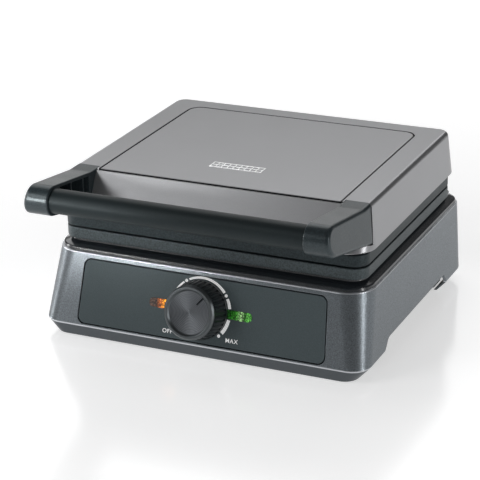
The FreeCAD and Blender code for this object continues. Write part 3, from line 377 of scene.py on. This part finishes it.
MATERIALS = {
    "lid": flake_paint("lid_satin_grey", (0.325, 0.327, 0.338), 0.30, 0.75, 0.05, 0.05),
    "slope": flake_paint("lid_slope_grain", (0.300, 0.303, 0.312), 0.38, 0.6, 0.14, 1.0),
    # the housing's two height bands below are painted highlight lines
    "housing": housing_paint("housing_metallic_painted_light", (0.178, 0.198, 0.214), (0.60, 0.62, 0.65),
                             ((HOUSING_CREASE - 0.5 * MM, HOUSING_CREASE + 0.4 * MM),
                              (HOUSING_TOP - 0.9 * MM, HOUSING_TOP + 0.2 * MM))),
    "bezel": gloss_black("bezel_gloss", (0.016, 0.019, 0.023)),
    "panel": moulded("panel_satin", (0.069, 0.088, 0.094), 0.50, 0.15, 1600.0, 0.35),
    "ring": moulded("ring_grain", (0.043, 0.054, 0.058), 0.42, 1.0, 1000.0, 0.4, 0.4),
    # darker copy of the ring plastic for the upper frame: painted shade from the handle bar above it
    "ring_painted_shade": moulded("ring_grain_painted_shade", (0.018, 0.025, 0.028), 0.42, 1.0, 1000.0, 0.25, 0.4),
    "arm": moulded("arm_grain", (0.021, 0.029, 0.033), 0.31, 1.0, 1000.0, 0.5, 0.3),
    "bar": moulded("bar_soft", (0.009, 0.014, 0.0155), 0.48, 0.30, 1300.0, 0.28),
    "inner": moulded("inner_black", (0.006, 0.0065, 0.007), 0.6, 0.35, specular=0.2),
    "hinge": moulded("hinge_black", (0.02, 0.024, 0.027), 0.48, 0.45),
    "rubber": moulded("foot_rubber", (0.012, 0.012, 0.013), 0.75, 0.6, 800.0, 0.3),
    "white": moulded("inner_white", (0.72, 0.71, 0.68), 0.5, 0.2),
    "phenolic": moulded("thermostat_body", (0.55, 0.50, 0.42), 0.55, 0.3),
    "steel": plain_metal("steel_plain", (0.55, 0.55, 0.56), 0.32),
    "heater": plain_metal("heater_steel", (0.20, 0.175, 0.15), 0.45),
    "sheet": plain_metal("sheet_aluminium", (0.70, 0.70, 0.71), 0.38, (0.05, 1, 1), 900.0),
    "coating": nonstick("plate_coating", (0.016, 0.016, 0.017)),
    "knob": knob_body("knob_body", (0.014, 0.018, 0.020), (0.095, 0.105, 0.11), KNOB_TOP - KNOB_RIM_DEEP),
    "disc": spun_metal("knob_spun_disc", (0.115, 0.124, 0.135)),
    "pointer": moulded("pointer_black", (0.003, 0.003, 0.004), 0.5, 0.1, specular=0.1),
    "print": print_with_painted_glow("dial_print_painted_glow", (0.92, 0.92, 0.92)),
    "badge": plain_metal("badge_silver", (0.95, 0.95, 0.96), 0.32),
    # black for the strip in the lid's groove: painted shade
    "seam_shade": moulded("seam_shade_black", (0.003, 0.003, 0.0035), 0.7, 0.3, specular=0.1),
    "amber": lens("lens_amber", (0.10, 0.03, 0.01), -1, 23.0 * MM, 45.2 * MM, AMBER_STOPS, 2.2),
    "green": lens("lens_green", (0.01, 0.06, 0.01), 1, 22.0 * MM, 45.2 * MM, GREEN_STOPS, 0.75),
    "lamp": moulded("lamp_glass", (0.8, 0.8, 0.75), 0.15, 0.05),
}

NODE_MATERIALS = {
    "lid": ("lid_shell", "lid_top_panel"),
    "slope": ("lid_front_panel",),
    "housing": ("base_housing",),
    "bezel": ("base_top_bezel",),
    "panel": ("control_panel",),
    "ring": ("lower_plate_frame",),
    "ring_painted_shade": ("upper_plate_frame",),
    "arm": ("handle_arm_left", "handle_arm_right"),
    "bar": ("handle_bar",),
    "inner": ("bottom_plate", "control_carrier", "cord_gland"),
    "hinge": ("hinge_brackets", "lid_hinge_knuckles"),
    "rubber": ("rubber_feet",),
    "white": ("terminal_block",),
    "phenolic": ("thermostat",),
    "steel": ("support_posts", "base_screws", "hinge_pins", "upper_pillars", "handle_core",
              "handle_screws", "thermostat_shaft", "thermal_fuse"),
    "heater": ("lower_heating_element", "upper_heating_element"),
    "sheet": ("lower_reflector", "upper_reflector"),
    "coating": ("lower_waffle_plate", "upper_waffle_plate"),
    "knob": ("knob",),
    "disc": ("knob_disc",),
    "pointer": ("knob_pointer",),
    "amber": ("power_lamp_lens",),
    "green": ("ready_lamp_lens",),
    "lamp": ("indicator_lamps",),
}


def paint(obj, material):
    obj.data.materials.clear()
    obj.data.materials.append(MATERIALS[material])


for material_name, members in NODE_MATERIALS.items():
    for member in members:
        paint(nodes[member], material_name)


# ---- pieces -------------------------------------------------------------------
def piece(name, mesh, body, material):
    obj = bpy.data.objects.new(name, mesh)
    bpy.context.scene.collection.objects.link(obj)
    mesh.materials.append(MATERIALS[material])
    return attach(obj, body)


def mesh_from(bm, name, matrix):
    bmesh.ops.recalc_face_normals(bm, faces=bm.faces)
    bm.transform(matrix)
    mesh = bpy.data.meshes.new(name)
    bm.to_mesh(mesh)
    bm.free()
    return mesh


def on_dial(angle, radius, height):
    """Point on the control face; angle is clockwise from straight up, in degrees."""
    a = math.radians(angle)
    return Vector((radius * math.sin(a), radius * math.cos(a), height))


PRINT_HIGH = 0.08 * MM       # printed marks stand this far off the panel


def raised_strip(bm, outer, inner, low=0.0, high=PRINT_HIGH):
    """Closed strip between two rows of points, from low to high above the face."""
    rows = [[bm.verts.new((p.x, p.y, z)) for p in line]
            for line, z in ((outer, high), (inner, high), (inner, low), (outer, low))]
    count = len(outer)
    for i in range(count - 1):
        for j in range(4):
            a, b = rows[j], rows[(j + 1) % 4]
            bm.faces.new((a[i], a[i + 1], b[i + 1], b[i]))
    for i in (0, count - 1):
        bm.faces.new([rows[j][i] for j in range(4)])


SCALE_R = 25.7 * MM
SCALE_THIN, SCALE_THICK = 0.9 * MM, 3.0 * MM
SCALE_START, SCALE_END = -130.0, 128.0
SCALE_PARTS = ((-130, -99), (-81, -38), (-27, 50), (62, 80), (100, 128))
SCALE_DOTS = (-33.0, 56.0, 135.5)
DOT_R = 1.3 * MM


def scale_width(angle):
    share = (angle - SCALE_START) / (SCALE_END - SCALE_START)
    return SCALE_THIN + (SCALE_THICK - SCALE_THIN) * max(0.0, min(1.0, share)) ** 1.2


def dial_scale():
    bm = bmesh.new()
    for start, end in SCALE_PARTS:
        steps = max(6, int((end - start) / 3))
        angles = [start + (end - start) * i / steps for i in range(steps + 1)]
        outer = [on_dial(a, SCALE_R + scale_width(a) / 2, 0) for a in angles]
        inner = [on_dial(a, SCALE_R - scale_width(a) / 2, 0) for a in angles]
        raised_strip(bm, outer, inner)
    for angle in SCALE_DOTS:
        centre = on_dial(angle, SCALE_R, PRINT_HIGH / 2)
        bmesh.ops.create_cone(bm, cap_ends=True, segments=24, radius1=DOT_R, radius2=DOT_R,
                              depth=PRINT_HIGH, matrix=Matrix.Translation(centre))
    piece("dial_scale", mesh_from(bm, "dial_scale", FACE), "base", "print")


def dial_word(name, text, centre_x, centre_y, height):
    """A plain printed word on the panel."""
    curve = bpy.data.curves.new(name, "FONT")
    curve.body = text
    curve.align_x, curve.align_y = "CENTER", "CENTER"
    curve.size = height / 0.69
    curve.space_character = 1.12
    curve.extrude = PRINT_HIGH / 2
    curve.offset = 0.04 * MM
    holder = bpy.data.objects.new(name + "_curve", curve)
    bpy.context.scene.collection.objects.link(holder)
    bpy.context.view_layer.update()
    mesh = bpy.data.meshes.new_from_object(holder.evaluated_get(bpy.context.evaluated_depsgraph_get()))
    bpy.data.objects.remove(holder)
    mesh.transform(FACE @ Matrix.Translation((centre_x, centre_y, PRINT_HIGH / 2)))
    mesh.materials.clear()
    piece(name, mesh, "base", "print")


WORD_HIGH = 3.3 * MM
dial_scale()
dial_word("dial_off", "OFF", -27.0 * MM, -21.4 * MM, WORD_HIGH)
dial_word("dial_max", "MAX", 29.4 * MM, -20.9 * MM, WORD_HIGH)


DISC_RINGS = 14
DISC_GROOVE = 0.22 * MM      # depth of each ring
DISC_SEGMENTS = 120


# knob disc with real turned rings
def knob_spun_face():
    low, high = face_box("knob_disc")
    radius = (high.x - low.x) / 2
    profile = []
    for i in range(DISC_RINGS):
        profile += [(radius * (i + 0.15) / DISC_RINGS, high.z),
                    (radius * (i + 0.55) / DISC_RINGS, high.z - DISC_GROOVE)]
    profile += [(radius, high.z), (radius, low.z)]
    bm = bmesh.new()
    previous = None
    for r, z in profile:
        row = [bm.verts.new(on_dial(360.0 * s / DISC_SEGMENTS, r, z)) for s in range(DISC_SEGMENTS)]
        if previous:
            for s in range(DISC_SEGMENTS):
                t = (s + 1) % DISC_SEGMENTS
                bm.faces.new((previous[s], previous[t], row[t], row[s]))
        else:
            bm.faces.new(row)
        previous = row
    bm.faces.new(previous)
    obj = piece("knob_spun_face", mesh_from(bm, "knob_spun_face", FACE), "knob", "disc")
    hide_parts("knob_disc")


knob_spun_face()


# black strip in the groove round the lid's top panel: painted shade for the groove's depth
SEAM = 1.0 * MM
SEAM_DEEP = 0.4 * MM         # the shade strip lies this far below the panel's face
TOP_REAR_CORNER, TOP_FRONT_CORNER = 11.0 * MM, 0.6 * MM


def rounded_loop(half, front, rear, front_corner, rear_corner, steps=8):
    """Points round a rectangle with rounded corners, symmetric about x = 0."""
    points = []
    for x, y, radius, start in ((half, front, front_corner, -90), (half, rear, rear_corner, 0),
                                (-half, rear, rear_corner, 90), (-half, front, front_corner, 180)):
        centre = Vector((x - math.copysign(radius, x), y + radius if y == front else y - radius))
        for i in range(steps + 1):
            a = math.radians(start + 90.0 * i / steps)
            points.append(centre + radius * Vector((math.cos(a), math.sin(a))))
    return points


def lid_seam_shade_strip():
    low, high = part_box("lid_top_panel")
    inner = rounded_loop(high.x, low.y, high.y, TOP_FRONT_CORNER, TOP_REAR_CORNER)
    outer = rounded_loop(high.x + SEAM, low.y - SEAM, high.y + SEAM,
                         TOP_FRONT_CORNER + SEAM, TOP_REAR_CORNER + SEAM)
    bottom, top = low.z, high.z - SEAM_DEEP
    bm = bmesh.new()
    rows = [[bm.verts.new((p.x, p.y, z)) for p in line]
            for line, z in ((outer, top), (inner, top), (inner, bottom), (outer, bottom))]
    count = len(inner)
    for i in range(count):
        k = (i + 1) % count
        for j in range(4):
            a, b = rows[j], rows[(j + 1) % 4]
            bm.faces.new((a[i], a[k], b[k], b[i]))
    piece("lid_seam_shade_strip", mesh_from(bm, "lid_seam_shade_strip", Matrix()), "lid", "seam_shade")


lid_seam_shade_strip()


BADGE_COLUMNS, BADGE_ROWS = 9, 2
BADGE_PITCH = 5.0 * MM
BADGE_BAR = 0.9 * MM         # width of the bars between the cells
BADGE_HIGH = 0.2 * MM
BADGE_X = -1.5 * MM
BADGE_FROM_FRONT = 42.5 * MM  # from the panel's front edge to the badge's middle


# plain badge: two rows of raised waffle cells
def badge():
    low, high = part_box("lid_top_panel")
    centre = Vector((BADGE_X, low.y + BADGE_FROM_FRONT, high.z))
    half_x, half_y, half_bar = BADGE_COLUMNS * BADGE_PITCH / 2, BADGE_ROWS * BADGE_PITCH / 2, BADGE_BAR / 2
    bm = bmesh.new()

    def bar_box(x0, x1, y0, y1):
        for v in bmesh.ops.create_cube(bm, size=1.0)["verts"]:
            v.co = Vector(((x0 if v.co.x < 0 else x1), (y0 if v.co.y < 0 else y1),
                           (0 if v.co.z < 0 else BADGE_HIGH)))

    for i in range(BADGE_COLUMNS + 1):
        x = -half_x + i * BADGE_PITCH
        bar_box(x - half_bar, x + half_bar, -half_y - half_bar, half_y + half_bar)
    for j in range(BADGE_ROWS + 1):
        y = -half_y + j * BADGE_PITCH
        for i in range(BADGE_COLUMNS):
            x = -half_x + i * BADGE_PITCH
            bar_box(x + half_bar, x + BADGE_PITCH - half_bar, y - half_bar, y + half_bar)
    mesh = mesh_from(bm, "lid_badge", Matrix.Translation(centre))
    piece("lid_badge", mesh, "lid", "badge")


badge()


# ---- floor, light and camera ----------------------------------------------------
FLOOR_HALF = 8.0
# floor glow is lower near the object: painted shade round its foot
FLOOR_GLOW_NEAR, FLOOR_GLOW_FAR = 0.54, 0.66     # own light under the object and far from it
FLOOR_NEAR, FLOOR_FAR = 0.22, 0.55               # distances between which it changes


def floor():
    bm = bmesh.new()
    bmesh.ops.create_grid(bm, x_segments=1, y_segments=1, size=FLOOR_HALF)
    mesh = mesh_from(bm, "floor", Matrix())
    obj = bpy.data.objects.new("floor", mesh)
    bpy.context.scene.collection.objects.link(obj)
    finish = Finish("floor_pale", (0.80, 0.80, 0.805), 0.16, specular=0.8)
    finish.vary_roughness(finish.noise(3, 2.0), 0.02)
    finish.set("Emission Color", (1, 1, 1, 1))
    finish.link(finish.spread(finish.away(FLOOR_NEAR, FLOOR_FAR), FLOOR_GLOW_NEAR, FLOOR_GLOW_FAR),
                finish.shader.inputs["Emission Strength"])
    mesh.materials.append(finish.mat)


def softbox(name, place, target, width, height, power, spread=180):
    """A rectangular lamp at place, aimed at target; power in watts and spread in degrees."""
    data = bpy.data.lights.new(name, "AREA")
    data.shape = "RECTANGLE"
    data.size, data.size_y = width, height
    data.energy = power
    data.spread = math.radians(spread)
    obj = bpy.data.objects.new(name, data)
    bpy.context.scene.collection.objects.link(obj)
    obj.location = place
    obj.visible_camera = False
    obj.rotation_mode = "QUATERNION"
    obj.rotation_quaternion = (Vector(target) - Vector(place)).to_track_quat("-Z", "Y")


def studio():
    world = bpy.data.worlds.new("studio")
    bpy.context.scene.world = world
    world.use_nodes = True
    background = world.node_tree.nodes["Background"]
    background.inputs["Color"].default_value = (1, 1, 1, 1)
    background.inputs["Strength"].default_value = 0.10
    # behind, for the lid's top and the arms; in front, for the slope, panel and shoulder;
    # at the sides, for the bright lines on the corners; and a narrow one for the left arm's nose
    softbox("back_left", (-1.15, 2.2, 2.2), (0, 0, 0.1), 3.2, 2.2, 34)
    softbox("back_low", (-1.25, 2.7, 0.32), (0, 0, 0.14), 2.4, 0.5, 5)
    softbox("front_low", (-1.05, -1.45, 0.26), (0, 0, 0.06), 0.75, 0.42, 0.9)
    softbox("front_high", (-1.35, -1.25, 1.15), (0, 0, 0.12), 1.1, 0.5, 10)
    softbox("right_strip", (1.35, -0.36, 0.40), (0.1, 0, 0.06), 0.20, 0.7, 4.3)
    softbox("left_strip", (-1.35, -0.20, 0.40), (-0.1, 0, 0.06), 0.25, 0.7, 5)
    softbox("left_nose", (-0.36, -0.56, 0.205), (-0.115, -0.14, 0.13), 0.14, 0.09, 0.024, 14)
    view = bpy.context.scene.view_settings
    view.view_transform = "Standard"
    view.look = "None"


CAMERA_PLACE = Vector((0.5973, -1.3017, 0.6375))
CAMERA_AZIMUTH = 25.08
CAMERA_ELEVATION = 21.95
CAMERA_ROLL = -1.396
SENSOR = 36.0
LENS = 138.74


def camera():
    data = bpy.data.cameras.new("camera")
    data.sensor_width = SENSOR
    data.lens = LENS
    data.clip_start, data.clip_end = 0.05, 50
    obj = bpy.data.objects.new("camera", data)
    bpy.context.scene.collection.objects.link(obj)
    turn = (Matrix.Rotation(math.radians(CAMERA_AZIMUTH), 4, "Z")
            @ Matrix.Rotation(math.radians(90 - CAMERA_ELEVATION), 4, "X")
            @ Matrix.Rotation(math.radians(CAMERA_ROLL), 4, "Z"))
    obj.matrix_world = Matrix.Translation(CAMERA_PLACE) @ turn
    bpy.context.scene.camera = obj


floor()
studio()
camera()
